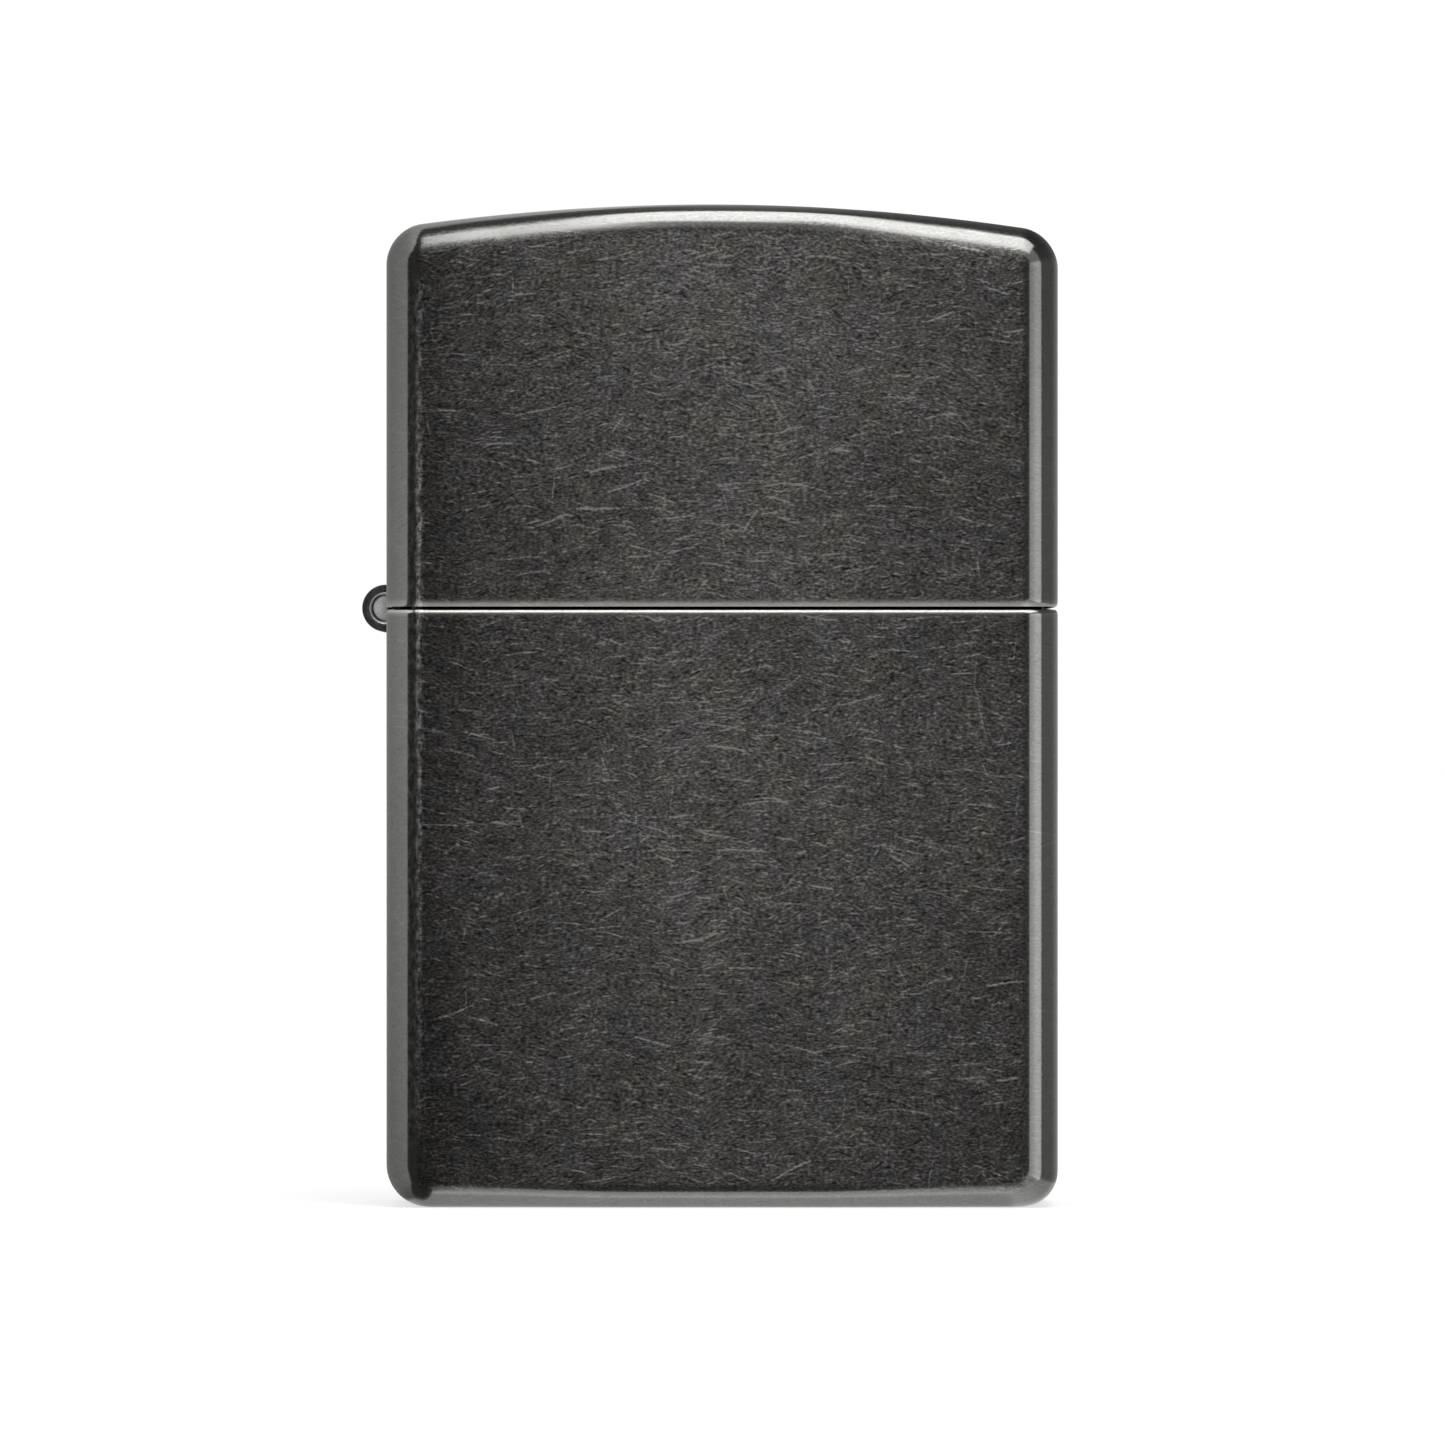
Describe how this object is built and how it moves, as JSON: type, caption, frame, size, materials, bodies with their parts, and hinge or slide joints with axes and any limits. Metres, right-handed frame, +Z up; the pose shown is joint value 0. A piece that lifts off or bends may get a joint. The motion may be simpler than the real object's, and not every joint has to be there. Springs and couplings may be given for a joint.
{
  "type": "flip-top petrol lighter",
  "caption": "Flip-top windproof petrol lighter: two-part worn grey metal case on a side hinge, with a wick, flint and striker-wheel insert inside.",
  "frame": {"origin": "middle of the case's flat underside, on the surface that the closed lighter stands on", "axes": "+Z up through the arched lid, +Y from the front face to the back face (the depth), +X across the front face away from the hinge"},
  "size_m": [0.0397, 0.0126, 0.0571],
  "materials": {
    "case_coat": "dark grey coating on brass sheet, tumbled to a fine, worn, scratched satin",
    "pin_steel": "bright end of the hinge pin, lightly brushed",
    "insert_steel": "stainless sheet with a fine vertical brushing",
    "cam_steel": "plain stamped steel",
    "rivet_steel": "peened steel heads",
    "wheel_steel": "hardened, darkened steel with cut teeth",
    "spring_steel": "drawn spring steel",
    "tube_brass": "plain drawn brass",
    "screw_brass": "turned brass with a slotted head",
    "flint_alloy": "dull grey sintered alloy",
    "wick_cotton": "braided cotton with fine copper wires",
    "wadding_cotton": "loose white fibre",
    "felt": "dense pressed felt"
  },
  "bodies": {
    "case": {"case_base": "case_coat", "hinge_leaf_base": "case_coat", "hinge_pin": "pin_steel", "insert_tank": "insert_steel", "chimney": "insert_steel", "cam_rivet": "rivet_steel", "cam_spring": "spring_steel", "cam_spring_rivet": "rivet_steel", "wheel_rivet": "rivet_steel", "flint_tube": "tube_brass", "flint_spring": "spring_steel", "flint_screw": "screw_brass", "wick": "wick_cotton", "wadding_top": "wadding_cotton", "wadding_upper": "wadding_cotton", "wadding_middle": "wadding_cotton", "wadding_side": "wadding_cotton", "wadding_bottom": "wadding_cotton", "felt_pad": "felt"},
    "lid": {"case_lid": "case_coat", "hinge_leaf_lid": "case_coat"},
    "striker": {"striker_wheel": "wheel_steel"},
    "cam_lever": {"cam": "cam_steel"},
    "flint_stack": {"flint": "flint_alloy", "flint_plunger": "tube_brass"}
  },
  "joints": [
    {"name": "lid_hinge", "type": "hinge", "parent": "case", "child": "lid", "pos_m": [-0.01919, 0, 0.03414], "axis": [0, -1, 0], "range_deg": [0, 120]},
    {"name": "cam_pivot", "type": "hinge", "parent": "case", "child": "cam_lever", "pos_m": [-0.0133, 0, 0.0369], "axis": [0, 1, 0], "range_deg": [0, 15]},
    {"name": "wheel_spin", "type": "hinge", "parent": "case", "child": "striker", "pos_m": [0.0106, 0, 0.0465], "axis": [0, 1, 0], "continuous": true},
    {"name": "flint_feed", "type": "slide", "parent": "case", "child": "flint_stack", "axis": [0, 0, 1], "range_m": [-0.0008, 0], "stiffness_N_per_m": 120, "springref_m": 0.008, "deforming": ["flint_spring"]}
  ],
  "couplings": [
    {"joint": "cam_pivot", "follows": "lid_hinge", "ratio": 0.12}
  ]
}
